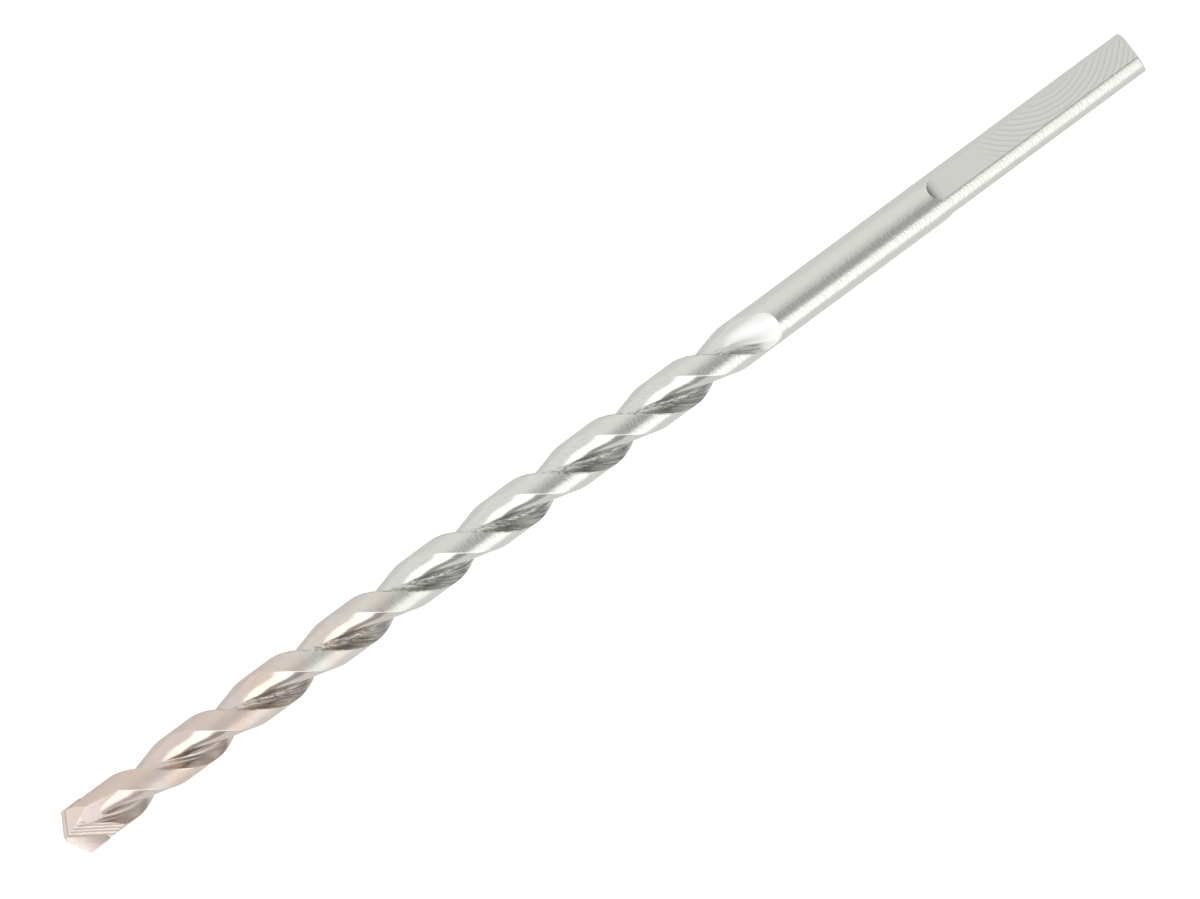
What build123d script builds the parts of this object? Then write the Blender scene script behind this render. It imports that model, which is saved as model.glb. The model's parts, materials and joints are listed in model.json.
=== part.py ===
"""Multi-material drill bit: a steel body with two helical flutes and a three-flat shank,
and a carbide cutting plate brazed into a slot across its tip.

The bit lies along X. The origin is the centre of the shank's end face and +X points out of
the shank, so the cutting tip is at -overall_length. The carbide plate lies in the XY plane.
Rolls are angles about X, counted from +Y towards +Z. All sizes are millimetres and degrees.
"""
from build123d import *
import math
import os

os.makedirs("parts", exist_ok=True)

# Whole bit
overall_length = 150.0       # apex of the carbide to the shank's end
body_diameter = 5.5          # ground shank
land_diameter = 5.57         # across the lands: the fluted part is a little thicker than the shank
shank_end_chamfer = 0.2      # edge break on the end that goes into the chuck

# Shank flats
flat_count = 3
flat_length = 27.3           # flat floor, from the shank's end
flat_depth = 0.46            # how far a flat is milled below the round shank
flat_shoulder_radius = 1.5   # corner radius that the milling cutter leaves
first_flat_roll = 73.0       # roll of the flat that shows from above

# Flutes
flute_count = 2
flute_lead = 22.45           # one full turn of the right-hand helix
flute_roll_at_tip = 51.1     # roll of a land's leading edge at the apex
flute_length = 96.0          # helical part, from the apex
wall_depth = 1.02            # straight part of the leading wall, inward from the leading edge
bottom_radius = 0.69         # fillet at the flute's bottom
heel_angle = 114.0           # heel of the next land, counted from the leading edge
bulge_angle = 77.0           # a point on the convex heel side, counted the same way
bulge_radius = 2.06          # and its distance from the axis
exit_length = 3.3            # rounded end, in which the cutter lifts clear of the body
exit_swing = 47.0            # it leaves straight on, so the flute's middle falls back this far
exit_ease = 1.5              # how gently it starts to fall back: 1 is with a kink

# Carbide plate
plate_diameter = 5.8         # ground across the plate's margins
plate_thickness = 1.2
plate_height = 4.1           # apex to the plate's base
point_angle = 120.0          # included angle of the two cutting lips
lip_relief = 20.6            # how steeply the carbide's flanks fall back behind the lips

# Seat of the plate in the steel
braze_gap = 0.08             # filler between the plate and the slot, all round
steel_setback = 0.06         # steel ground back from the carbide's flank
steel_relief = 59.4          # how steeply the steel facets behind the lips fall back

# Ground head: a gash in front of each lip, a thick heel behind it
gash_angle = 34.0            # root line of the gash against the axis
gash_tilt = 27.0             # rise of its floor from the rake face
gash_start = 0.8             # root line's near end, behind the apex
gash_offset = 0.19           # and that end's distance past the axis
head_length = 9.0            # thick heel, from the apex
head_heel_roll = 36.2        # roll of the thick heel's edge at the apex
head_twist = 4.0             # its slow twist, degrees for each millimetre
head_floor_angle = 26.0      # its floor against the radius that ends on its edge
head_back_angle = 60.0       # how far round it runs to meet the land

body_radius = body_diameter / 2
plate_radius = plate_diameter / 2
half_plate = plate_thickness / 2
slot_half_width = half_plate + braze_gap
apex_x = -overall_length
flute_start = apex_x - plate_thickness
flute_end = apex_x + flute_length
taper_end = flute_end + exit_length   # the lands come down to the shank as the flutes run out
shank_split = flat_shoulder_radius / 2 - flat_length   # the flats' shoulders lie before this
heel_start = apex_x - 2 * plate_thickness
full_turn = 360
half_turn = full_turn / 2
quarter_turn = full_turn / 4
twist_rate = full_turn / flute_lead
exit_steps = 8                     # sections that shape a flute's rounded end
last_exit = 80.0                   # where the last of them lies on the end's quarter ellipse
floor_side_angle = half_turn - head_back_angle / 2
open_radius = body_diameter        # the open side of a flute, well outside the body
heel_run = body_radius / 2         # how far a flute's heel side runs straight on, past the land
short_run = 0.05                   # step that shows how a squeeze turns a direction
tool_reach = body_diameter         # how far a cutting tool stands out past the metal
tool_width = 4 * body_diameter     # a plane tool that covers the whole tip
lip_slope = 1 / math.tan(math.radians(point_angle / 2))
flat_distance = body_radius - flat_depth


def section_plane(x, roll):
    """Plane across the bit at x, with its own x axis out at the given roll."""
    outward = (0, math.cos(math.radians(roll)), math.sin(math.radians(roll)))
    return Plane(origin=(x, 0, 0), x_dir=outward, z_dir=(1, 0, 0))


def polar(radius, angle):
    """Point in a section plane."""
    return (radius * math.cos(math.radians(angle)), radius * math.sin(math.radians(angle)))


def flute_roll(x):
    """Roll of the leading edge at x: a right-hand helix turns with +X."""
    return flute_roll_at_tip + (x - apex_x) * twist_rate


def flute_outline(width=1.0, depth=1.0):
    """Section of the space that a flute takes: wall, bottom fillet, convex heel side, open top.

    The leading edge is at (body_radius, 0) and the flute lies clockwise from it. A width or depth
    below one squeezes the section towards its middle or up to the body's surface."""
    def squeeze(point):
        radius = body_radius - depth * (body_radius - math.hypot(*point))
        angle = math.degrees(math.atan2(point[1], point[0]))
        return polar(radius, width * (angle + heel_angle / 2) - heel_angle / 2)

    def direction(point, run):
        start, end = squeeze(point), squeeze((point[0] + run[0], point[1] + run[1]))
        length = math.dist(start, end)
        return ((end[0] - start[0]) / length, (end[1] - start[1]) / length)

    wall_end = (body_radius - wall_depth, 0)
    fillet_arm = polar(bottom_radius, quarter_turn * 3 / 2)
    fillet_middle = (wall_end[0] + fillet_arm[0], fillet_arm[1] - bottom_radius)
    bottom = (wall_end[0] - bottom_radius, -bottom_radius)
    bulge = polar(bulge_radius, -bulge_angle)
    heel = polar(body_radius, -heel_angle)
    clear_of_heel = (heel[0] - heel_run, heel[1])
    with BuildLine() as outline:
        Line(squeeze((open_radius, 0)), squeeze(wall_end))
        ThreePointArc(squeeze(wall_end), squeeze(fillet_middle), squeeze(bottom))
        Spline(squeeze(bottom), squeeze(bulge), squeeze(heel),
               tangents=[direction(bottom, (0, -short_run)), direction(heel, (-short_run, 0))])
        Polyline(squeeze(heel), squeeze(clear_of_heel), squeeze(polar(open_radius, -heel_angle)),
                 squeeze(polar(open_radius, -heel_angle / 2)), squeeze((open_radius, 0)))
    return outline.edges()


def twist(start, end, lead):
    """Straight path along the bit and the helix that turns a section on its way."""
    path = Edge.make_line((start, 0, 0), (end, 0, 0))
    guide = Edge.make_helix(lead, end - start, body_radius, center=(start, 0, 0), normal=(1, 0, 0))
    return {"path": path, "binormal": guide}


def lip_plane(side, x, half_width, relief):
    """Ground plane behind one lip. It passes the axis at x, half_width above the middle plane,
    and falls back by the relief angle. side is 1 for the upper lip and -1 for its twin."""
    fall = math.tan(math.radians(relief))
    return Plane(origin=(x, 0, side * half_width), z_dir=(-1, side * lip_slope, side * fall))


# Thick heel of the head, which backs the plate: a slowly twisted sector that the flutes leave
with BuildPart() as thick_heel:
    with BuildSketch(section_plane(heel_start, head_heel_roll + (heel_start - apex_x) * head_twist)):
        with BuildLine():
            floor_foot = polar(body_radius * math.sin(math.radians(head_floor_angle)),
                               quarter_turn - head_floor_angle)
            past_axis = polar(half_plate, floor_side_angle)
            Polyline(floor_foot, (body_radius, 0), (open_radius, 0),
                     polar(open_radius, -head_back_angle), past_axis, floor_foot)
        make_face()
    sweep(**twist(heel_start, apex_x + head_length, full_turn / head_twist))

# Space of one flute: the helical part, then the straight way on which the cutter lifts out
with BuildPart() as flute_space:
    with BuildSketch(section_plane(flute_start, flute_roll(flute_start))):
        make_face(flute_outline())
    sweep(**twist(flute_start, flute_end, flute_lead))
    for step in range(exit_steps + 1):
        lift = math.radians(last_exit * step / exit_steps)
        progress, width = math.sin(lift), math.cos(lift)
        x = flute_end + progress * exit_length
        roll = flute_roll(x) - exit_swing * progress**exit_ease
        with BuildSketch(section_plane(x, roll)):
            make_face(flute_outline(width, width**2))
    loft()
    add(thick_heel.part, mode=Mode.SUBTRACT)

# Space of one gash: in front of the lip down to the rake face, then up a sloping floor
gash_run = (math.cos(math.radians(gash_angle)), -math.sin(math.radians(gash_angle)), 0)
gash_across = (math.sin(math.radians(gash_angle)), math.cos(math.radians(gash_angle)), 0)
gash_root = (apex_x + gash_start, -gash_offset, half_plate)
with BuildPart() as gash_space:
    with BuildSketch(Plane(origin=gash_root, x_dir=gash_across, z_dir=gash_run)):
        with BuildLine():
            floor_end = polar(tool_width, gash_tilt)
            Polyline((0, 0), floor_end, (floor_end[0], tool_width),
                     (-tool_reach, tool_width), (-tool_reach, 0), (0, 0))
        make_face()
    extrude(amount=tool_width, both=True)

# Space in front of one steel facet, behind a lip
facet_x = apex_x + half_plate * math.tan(math.radians(lip_relief)) + steel_setback
with BuildPart() as facet_space:
    with BuildSketch(lip_plane(1, facet_x, half_plate, steel_relief)):
        Rectangle(tool_width, tool_width)
    extrude(amount=tool_width)


def grind_head():
    """Grind both gashes and both facets from the part in hand."""
    for turn in (0, half_turn):
        add(gash_space.part, rotation=(turn, 0, 0), mode=Mode.SUBTRACT)
        add(facet_space.part, rotation=(turn, 0, 0), mode=Mode.SUBTRACT)


# Shank's end: round, with its edge broken
with BuildPart() as shank_end:
    with BuildSketch(section_plane(shank_split, 0)):
        Circle(body_radius)
    extrude(amount=-shank_split)
    chamfer(shank_end.faces().sort_by(Axis.X)[-1].edges(), shank_end_chamfer)

# Steel body: turned rod, flutes, thick heels, ground head, slot for the plate, flatted shank
with BuildPart() as steel_body:
    with BuildSketch(Plane.XY):
        with BuildLine():
            Polyline((apex_x, 0), (apex_x, land_diameter / 2), (flute_end, land_diameter / 2),
                     (taper_end, body_radius), (shank_split, body_radius), (shank_split, 0), (apex_x, 0))
        make_face()
    revolve(axis=Axis.X)

    for index in range(flute_count):
        turn = index * full_turn / flute_count
        add(flute_space.part, rotation=(turn, 0, 0), mode=Mode.SUBTRACT)
    grind_head()

    with BuildSketch(Plane.XY):
        with Locations((apex_x, 0)):
            Rectangle(2 * (plate_height + braze_gap), tool_width)
    extrude(amount=slot_half_width, both=True, mode=Mode.SUBTRACT)

    # The round stretch and the flatted end stay separate faces, so nothing is merged from here on
    add(shank_end.part, clean=False)
    for index in range(flat_count):
        roll = math.radians(first_flat_roll + index * full_turn / flat_count)
        side_view = Plane(origin=(0, 0, 0), x_dir=(1, 0, 0), z_dir=(0, -math.sin(roll), math.cos(roll)))
        with BuildSketch(side_view):
            with BuildLine():
                shoulder_top = (-flat_length - flat_shoulder_radius, flat_distance + flat_shoulder_radius)
                Polyline((tool_reach, flat_distance), (-flat_length, flat_distance))
                RadiusArc((-flat_length, flat_distance), shoulder_top, flat_shoulder_radius)
                Polyline(shoulder_top, (tool_reach, shoulder_top[1]), (tool_reach, flat_distance))
            make_face()
        extrude(amount=tool_reach, both=True, clean=False, mode=Mode.SUBTRACT)

# Carbide plate: a round-edged plate with two flanks that meet in a chisel edge
with BuildPart() as carbide_tip:
    with BuildSketch(section_plane(apex_x - plate_thickness, 0)):
        Circle(plate_radius)
        Rectangle(plate_diameter, plate_thickness, mode=Mode.INTERSECT)
    extrude(amount=plate_thickness + plate_height)
    for side in (1, -1):
        with BuildSketch(lip_plane(side, apex_x, 0, lip_relief)):
            Rectangle(tool_width, tool_width)
        extrude(amount=tool_width, mode=Mode.SUBTRACT)

# Braze: the thin layer of filler that fills the slot round the plate
with BuildPart() as braze_joint:
    with BuildSketch(section_plane(apex_x, 0)):
        Circle(land_diameter / 2)
        Rectangle(plate_diameter, 2 * slot_half_width, mode=Mode.INTERSECT)
    extrude(amount=plate_height + braze_gap)
    with BuildSketch(section_plane(apex_x, 0)):
        Rectangle(plate_diameter, plate_thickness)
    extrude(amount=plate_height, mode=Mode.SUBTRACT)
    grind_head()

steel_body.part.label = "steel_body"
carbide_tip.part.label = "carbide_tip"
braze_joint.part.label = "braze_joint"
export_step(steel_body.part, "parts/steel_body.step")
export_step(carbide_tip.part, "parts/carbide_tip.step")
export_step(braze_joint.part, "parts/braze_joint.step")
for piece in (steel_body, carbide_tip, braze_joint):
    print(piece.part.label, len(piece.part.solids()), round(piece.part.volume, 3))
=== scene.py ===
# %% [markdown]
# # A multi-material drill bit in a light tent
#
# The object is a slim steel rod, 150 mm long and 5.5 mm thick, with two helical flutes, a
# shank with three milled flats and a small carbide plate brazed across its tip. It lies on a
# white table. Everything here is in metres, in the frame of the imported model: the bit lies
# along X, its shank ends at the origin, its tip is at -X and +Z is up.

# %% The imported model
import json
import math
import bmesh
import bpy
from mathutils import Matrix, Vector

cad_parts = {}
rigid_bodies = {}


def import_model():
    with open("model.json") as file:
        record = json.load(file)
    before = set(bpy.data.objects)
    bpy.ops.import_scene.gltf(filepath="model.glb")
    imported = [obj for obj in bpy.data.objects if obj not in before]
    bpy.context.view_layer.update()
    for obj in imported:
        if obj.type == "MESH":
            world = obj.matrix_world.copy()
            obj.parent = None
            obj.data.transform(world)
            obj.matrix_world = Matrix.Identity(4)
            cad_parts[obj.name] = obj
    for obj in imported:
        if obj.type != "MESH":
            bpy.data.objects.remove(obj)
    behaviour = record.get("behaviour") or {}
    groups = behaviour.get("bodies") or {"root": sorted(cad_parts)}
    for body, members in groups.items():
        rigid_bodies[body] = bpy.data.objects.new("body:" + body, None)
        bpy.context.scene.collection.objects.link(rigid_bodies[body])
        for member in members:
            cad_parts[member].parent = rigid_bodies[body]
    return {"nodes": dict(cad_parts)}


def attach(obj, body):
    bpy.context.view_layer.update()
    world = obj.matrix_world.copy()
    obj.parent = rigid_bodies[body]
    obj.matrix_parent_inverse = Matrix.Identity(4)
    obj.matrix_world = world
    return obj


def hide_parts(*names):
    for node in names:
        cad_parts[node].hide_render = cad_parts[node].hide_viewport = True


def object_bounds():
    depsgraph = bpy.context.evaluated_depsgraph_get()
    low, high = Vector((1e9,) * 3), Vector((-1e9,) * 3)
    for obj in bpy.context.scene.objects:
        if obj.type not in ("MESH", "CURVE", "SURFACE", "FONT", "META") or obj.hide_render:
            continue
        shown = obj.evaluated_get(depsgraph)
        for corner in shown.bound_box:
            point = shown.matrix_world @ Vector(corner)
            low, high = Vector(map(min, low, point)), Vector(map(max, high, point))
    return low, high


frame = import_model()
cad_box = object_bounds()
mm = 0.001
print("CAD box in mm:", [[round(v / mm, 2) for v in corner] for corner in cad_box])

# %% [markdown]
# ## The bit's main sizes
#
# The visible steel is one smooth mesh that stands in for the coarse packed one, so it repeats
# the sizes of the solid, in millimetres and degrees, as on a drawing. The other sizes follow
# where they are first needed.

# %% Main sizes
overall_length = 150.0 * mm
body_radius = 2.75 * mm
land_radius = 2.785 * mm
half_plate = 0.6 * mm
apex_x = -overall_length
print("the tip is at X =", apex_x / mm, "mm")

# %% [markdown]
# ## One function for nodes
#
# The shapes and finishes below are node trees, made by a script so that they can be read and
# rerun. This function adds one node, sets its properties and fills its inputs, by name or in
# the order of those in use. Each gets a plain value, a socket or a whole node, whose first
# output is taken.

# %% Adding a node
def add(tree, kind, inputs=(), **settings):
    made = tree.nodes.new(kind)
    for name, value in settings.items():
        setattr(made, name, value)
    for key, value in inputs.items() if isinstance(inputs, dict) else enumerate(inputs):
        in_use = [socket for socket in made.inputs if socket.enabled]
        target = in_use[key] if isinstance(key, int) else next(s for s in in_use if s.name == key)
        if isinstance(value, bpy.types.Node):
            value = next(socket for socket in value.outputs if socket.enabled)
        if isinstance(value, bpy.types.NodeSocket):
            tree.links.new(value, target)
        else:
            target.default_value = value
    return made


# %% Starting a material
materials = {}


def new_material(name):
    """The empty tree of a new material, which is kept by its name."""
    materials[name] = bpy.data.materials.new(name)
    materials[name].use_nodes = True
    materials[name].node_tree.nodes.clear()
    return materials[name].node_tree


def linear(hex_colour):
    """An sRGB hex colour as the linear numbers that a shader takes."""
    channels = [int(hex_colour[i:i + 2], 16) / 255 for i in (1, 3, 5)]
    return (*(c / 12.92 if c <= 0.04045 else ((c + 0.055) / 1.055) ** 2.4 for c in channels), 1.0)


print("linear middle grey:", round(linear("#808080")[0], 3))

# %% [markdown]
# ## Bare steel and its copper bloom
#
# The body is alloy steel, ground bright. The brazing heat has left a bloom of copper, rose and
# straw on it, strong over the first 20 mm and gone, in patches, by about 70 mm. A colour ramp
# along the bit would look sprayed on, so noise moves the bloom's edge and picks its hue. All
# the steels share this colour. It reads Object coordinates: metres in the bit's own frame.

# %% Colour of the steel
steel_grey = linear("#dedfd9")
straw = linear("#e2d0c0")
copper_rose = linear("#e2d1c8")
lavender = linear("#dccec9")
bloom_hues = [(0.36, straw), (0.5, copper_rose), (0.66, lavender)]
bloom_full_x = apex_x + 20 * mm
bloom_end_x = apex_x + 72 * mm
bloom_beyond = -0.6  # below nothing, so that no patch of bloom is left on the shank
bloom_patch = 4.0 * mm
bloom_spread = 2.4
hue_patch = 2.6 * mm


def steel_colour(tree, place, shade=1.0):
    """Grey times any painted shade, turning to copper, straw and lavender patches near the tip."""
    along = add(tree, "ShaderNodeSeparateXYZ", [place])
    fade = add(tree, "ShaderNodeMapRange", {"Value": along.outputs["X"], "From Min": bloom_full_x,
        "From Max": bloom_end_x, "To Min": 1.0, "To Max": bloom_beyond})
    patches = add(tree, "ShaderNodeTexNoise", {"Vector": place, "Scale": 1 / bloom_patch,
        "Detail": 3.0, "Roughness": 0.6})
    spread = add(tree, "ShaderNodeMath", [patches, bloom_spread, -bloom_spread / 2],
        operation="MULTIPLY_ADD")
    lifted = add(tree, "ShaderNodeMath", [fade, spread], operation="ADD", use_clamp=True)
    hue = add(tree, "ShaderNodeTexNoise", {"Vector": place, "Scale": 1 / hue_patch, "Detail": 1.5})
    ramp = add(tree, "ShaderNodeValToRGB", [hue])
    stops = ramp.color_ramp.elements
    stops.new(0.5)
    for stop, (position, colour) in zip(stops, bloom_hues):
        stop.position = position
        stop.color = colour
    colour = add(tree, "ShaderNodeMix", [lifted, steel_grey, ramp], data_type="RGBA")
    return add(tree, "ShaderNodeVectorMath", {"Vector": colour, "Scale": shade}, operation="SCALE")


print("bloom ends", round((bloom_end_x - apex_x) / mm), "mm from the tip")

# %% [markdown]
# ## Steel dulled by heat
#
# The same heat dulled the steel near the tip. Two shaders could be mixed for that, but only
# the roughness changes, so this adds to a finish's own.

# %% Dulled steel
flute_dulling = 0.16
land_dulling = 0.24
lands_dullest_x = apex_x + 12 * mm


def dulled(tree, place, roughness, most, dull_from, dull_to):
    """Roughness that grows by most from dull_to back to dull_from, which is nearer the tip."""
    along = add(tree, "ShaderNodeSeparateXYZ", [place])
    dulling = add(tree, "ShaderNodeMapRange", {"Value": along.outputs["X"], "From Min": dull_from,
        "From Max": dull_to, "To Min": most, "To Max": 0.0}, interpolation_type="SMOOTHSTEP")
    return add(tree, "ShaderNodeMath", [roughness, dulling], operation="ADD")


print("roughness added:", land_dulling, "on the lands,", flute_dulling, "in the flutes")

# %% [markdown]
# ## Ground steel of the shank and the lands
#
# The rod was ground between centres, which leaves fine lines round it. Anisotropy could show
# them, but they also break up each reflection's edge into a grain, and only a bump does that.
# It is noise, drawn out round the rod. The real lines are some 0.02 mm apart, too fine to
# show, so they are drawn about ten times as coarse.

# %% Ground steel
# To the eye it is bright but soft: reflections run along the rod as bands with grainy edges.
grain_width = 0.22 * mm
grain_length = 0.5 * mm
grain_height = 0.028 * mm
noise_low, noise_high = 0.3, 0.7  # noise seldom leaves this range

tree = new_material("ground_steel")
place = add(tree, "ShaderNodeTexCoord").outputs["Object"]
drawn_out = (1 / grain_width, 1 / grain_length, 1 / grain_length)
stretched = add(tree, "ShaderNodeVectorMath", [place, drawn_out], operation="MULTIPLY")
grain = add(tree, "ShaderNodeTexNoise", {"Vector": stretched, "Scale": 1.0, "Detail": 2.0,
    "Roughness": 0.6})
bump = add(tree, "ShaderNodeBump", {"Height": grain, "Strength": 0.9, "Distance": grain_height})
rough = add(tree, "ShaderNodeMapRange", {"Value": grain, "From Min": noise_low,
    "From Max": noise_high, "To Min": 0.17, "To Max": 0.27})
heated = dulled(tree, place, rough, land_dulling, lands_dullest_x, bloom_end_x)
metal = add(tree, "ShaderNodeBsdfPrincipled", {"Base Color": steel_colour(tree, place),
    "Metallic": 1.0, "Roughness": heated, "Normal": bump})
add(tree, "ShaderNodeOutputMaterial", {"Surface": metal})
print("ground steel:", len(tree.nodes), "nodes")

# %% [markdown]
# ## Bright flutes
#
# The flutes were milled and then wheeled bright, which left slanted marks on the straight
# leading wall and a smooth heel side opposite. The helix is a formula, so instead of
# unwrapping the surface, each point is turned back by the helix's own angle. That untwists
# the bit. Its two flutes then differ only in the sign of Y, which is dropped.

# %% Flutes, untwisted
flute_lead = 22.45 * mm
flute_roll_at_tip = math.radians(51.1)
helix = 2 * math.pi / flute_lead

tree = new_material("fluted_steel")
place = add(tree, "ShaderNodeTexCoord").outputs["Object"]
along = add(tree, "ShaderNodeSeparateXYZ", [place])
turn_back = add(tree, "ShaderNodeMath", [along.outputs["X"], -helix,
    apex_x * helix - flute_roll_at_tip], operation="MULTIPLY_ADD")
untwisted = add(tree, "ShaderNodeVectorRotate", {"Vector": place, "Angle": turn_back},
    rotation_type="X_AXIS")
own = add(tree, "ShaderNodeSeparateXYZ", [untwisted])
side = add(tree, "ShaderNodeMath", [own.outputs["Y"]], operation="SIGN")
own_y = add(tree, "ShaderNodeMath", [own.outputs["Y"], side], operation="MULTIPLY")
folded = add(tree, "ShaderNodeCombineXYZ", {"X": own.outputs["X"], "Y": own_y,
    "Z": own.outputs["Z"]})
print("a flute turns", round(math.degrees(helix) * mm, 2), "degrees in each millimetre")

# %% Marks on the leading wall
mark_width = 0.2 * mm
mark_length = 4 * mm
mark_slant = math.radians(24)
wall_marks_end = 0.45 * mm
smooth_side_start = 0.85 * mm
smooth_side_marks = 0.12
marks_worn_x = bloom_full_x - 4 * mm
marks_whole_x = bloom_full_x + 10 * mm
worn_marks = 0.2

slanted = add(tree, "ShaderNodeVectorRotate", {"Vector": folded, "Angle": -mark_slant},
    rotation_type="Z_AXIS")
drawn_out = (1 / mark_length, 1 / mark_width, 1 / mark_width)
stretched = add(tree, "ShaderNodeVectorMath", [slanted, drawn_out], operation="MULTIPLY")
marks = add(tree, "ShaderNodeTexNoise", {"Vector": stretched, "Scale": 1.0, "Detail": 3.0,
    "Roughness": 0.7})
below_edge = add(tree, "ShaderNodeMath", [own.outputs["Z"]], operation="ABSOLUTE")
near_wall = add(tree, "ShaderNodeMapRange", {"Value": below_edge, "From Min": wall_marks_end,
    "From Max": smooth_side_start, "To Min": 1.0, "To Max": smooth_side_marks})
wear = add(tree, "ShaderNodeMapRange", {"Value": along.outputs["X"], "From Min": marks_worn_x,
    "From Max": marks_whole_x, "To Min": worn_marks, "To Max": 1.0})
marked = add(tree, "ShaderNodeMath", [near_wall, wear], operation="MULTIPLY")
print("marks:", mark_width / mm, "mm wide,", mark_length / mm, "mm long")

# %% [markdown]
# ## Frosted run-out
#
# Where a flute ends, the wheel left its scoop matt, almost white. A material of its own would
# have edges as hard as a face's, so a soft mask frosts the steel by where it is: past the
# last of the flute, off the wall and below the scoop's top edge.

# %% Frost in the run-out
frost_start_x = apex_x + 91.5 * mm
frost_full_x = apex_x + 94.5 * mm
wall_bare_to = 0.1 * mm
wall_frosted_from = 0.4 * mm
frost_full_height = 1.1 * mm
frost_top_height = 1.7 * mm
frost_hides_marks = 0.9

in_exit = add(tree, "ShaderNodeMapRange", {"Value": along.outputs["X"], "From Min": frost_start_x,
    "From Max": frost_full_x})
off_wall = add(tree, "ShaderNodeMapRange", {"Value": below_edge, "From Min": wall_bare_to,
    "From Max": wall_frosted_from})
facing = add(tree, "ShaderNodeMath", [along.outputs["Z"]], operation="SIGN")
height = add(tree, "ShaderNodeMath", [along.outputs["Y"], facing], operation="MULTIPLY")
below_top = add(tree, "ShaderNodeMapRange", {"Value": height, "From Min": frost_full_height,
    "From Max": frost_top_height, "To Min": 1.0, "To Max": 0.0})
scooped = add(tree, "ShaderNodeMath", [in_exit, off_wall], operation="MULTIPLY")
frost = add(tree, "ShaderNodeMath", [scooped, below_top], operation="MULTIPLY")
unfrosted = add(tree, "ShaderNodeMath", [frost, -frost_hides_marks, 1.0], operation="MULTIPLY_ADD")
on_wall = add(tree, "ShaderNodeMath", [marked, unfrosted], operation="MULTIPLY")
print("frost starts", round(-frost_start_x / mm, 1), "mm from the shank's end")

# %% Fluted steel
# To the eye it is nearly a mirror: sharp white and dark reflections, with dark streaks of painted
# shade where the wheel's marks turn the light away, and a plain white scoop at the end.
mark_height = 0.06 * mm
# the dark streaks on the leading wall are painted shade, and streak_shade is how dark they get
streak_noise = (0.4, 0.55)
streak_shade = 0.45
frost_roughness = 0.2
frost_white = linear("#fcfcfa")
frost_share = 0.85

bump = add(tree, "ShaderNodeBump", {"Height": marks, "Strength": on_wall, "Distance": mark_height})
wheeled = add(tree, "ShaderNodeMapRange", {"Value": marks, "From Min": noise_low,
    "From Max": noise_high, "To Min": 0.12, "To Max": 0.2})
matt = add(tree, "ShaderNodeMath", [frost, frost_roughness], operation="MULTIPLY")
heated = dulled(tree, place, wheeled, flute_dulling, apex_x, bloom_full_x)
rough = add(tree, "ShaderNodeMath", [heated, matt], operation="ADD")
# painted shade: the leading wall's colour is darkened along the wheel's marks, where they turn the
# light away
streak_painted_shade = add(tree, "ShaderNodeMapRange", {"Value": marks, "From Min": streak_noise[0],
    "From Max": streak_noise[1], "To Min": streak_shade, "To Max": 1.0})
shade = add(tree, "ShaderNodeMix", [on_wall, 1.0, streak_painted_shade])
frosted = add(tree, "ShaderNodeMix", [frost, steel_colour(tree, place, shade), frost_white],
    data_type="RGBA")
bare_share = add(tree, "ShaderNodeMath", [frost, -frost_share, 1.0], operation="MULTIPLY_ADD")
metal = add(tree, "ShaderNodeBsdfPrincipled", {"Base Color": frosted, "Metallic": bare_share,
    "Roughness": rough, "Normal": bump})
add(tree, "ShaderNodeOutputMaterial", {"Surface": metal})
print("fluted steel:", len(tree.nodes), "nodes")

# %% [markdown]
# ## Milled flats
#
# Each flat was cut with a face mill, whose teeth leave nested arcs. Painted shade darkens the
# arcs' grooves, and a thin dark line painted along the lower edge stands in for that edge's dark
# reflection. The three flats are the same flat turned by a third of a turn, so rather than three
# materials, one folds the angle round the bit into one third. There the flat's plane is
# (X, across), and the arcs are rings about one point. They fade out before the shoulder.

# %% A flat's own plane
flat_rolls = [math.radians(roll) for roll in (73, 193, 313)]
flat_distance = 2.29 * mm
third = 2 * math.pi / 3

tree = new_material("milled_flat_steel")
place = add(tree, "ShaderNodeTexCoord").outputs["Object"]
parts = add(tree, "ShaderNodeSeparateXYZ", [place])
roll = add(tree, "ShaderNodeMath", [parts.outputs["Z"], parts.outputs["Y"]], operation="ARCTAN2")
shifted = add(tree, "ShaderNodeMath", [roll, third / 2 - flat_rolls[0]], operation="ADD")
folded = add(tree, "ShaderNodeMath", [shifted, third], operation="FLOORED_MODULO")
own_roll = add(tree, "ShaderNodeMath", [folded, third / 2], operation="SUBTRACT")
slope = add(tree, "ShaderNodeMath", [own_roll], operation="TANGENT")
across = add(tree, "ShaderNodeMath", [slope, -flat_distance], operation="MULTIPLY")
flat_place = add(tree, "ShaderNodeCombineXYZ", {"X": parts.outputs["X"], "Y": across})
print("flats at", [round(math.degrees(roll)) for roll in flat_rolls], "degrees")

# %% Arcs of the face mill
arc_spacing = 0.62 * mm
arc_centre = (-9.9 * mm, 9.0 * mm)
arcs_start_x = -24 * mm
arcs_full_x = -19 * mm
arc_waver = 0.3 * mm
arc_waver_patch = 3 * mm


def wavy_ridges(tree, place, distance, spacing, waver, patch, detail):
    """Ridges from -1 to 1, evenly spaced but wavering a little."""
    noise = add(tree, "ShaderNodeTexNoise", {"Vector": place, "Scale": 1 / patch, "Detail": detail})
    wavered = add(tree, "ShaderNodeMath", [noise, waver, distance], operation="MULTIPLY_ADD")
    phase = add(tree, "ShaderNodeMath", [wavered, 2 * math.pi / spacing], operation="MULTIPLY")
    return add(tree, "ShaderNodeMath", [phase], operation="SINE")


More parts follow.
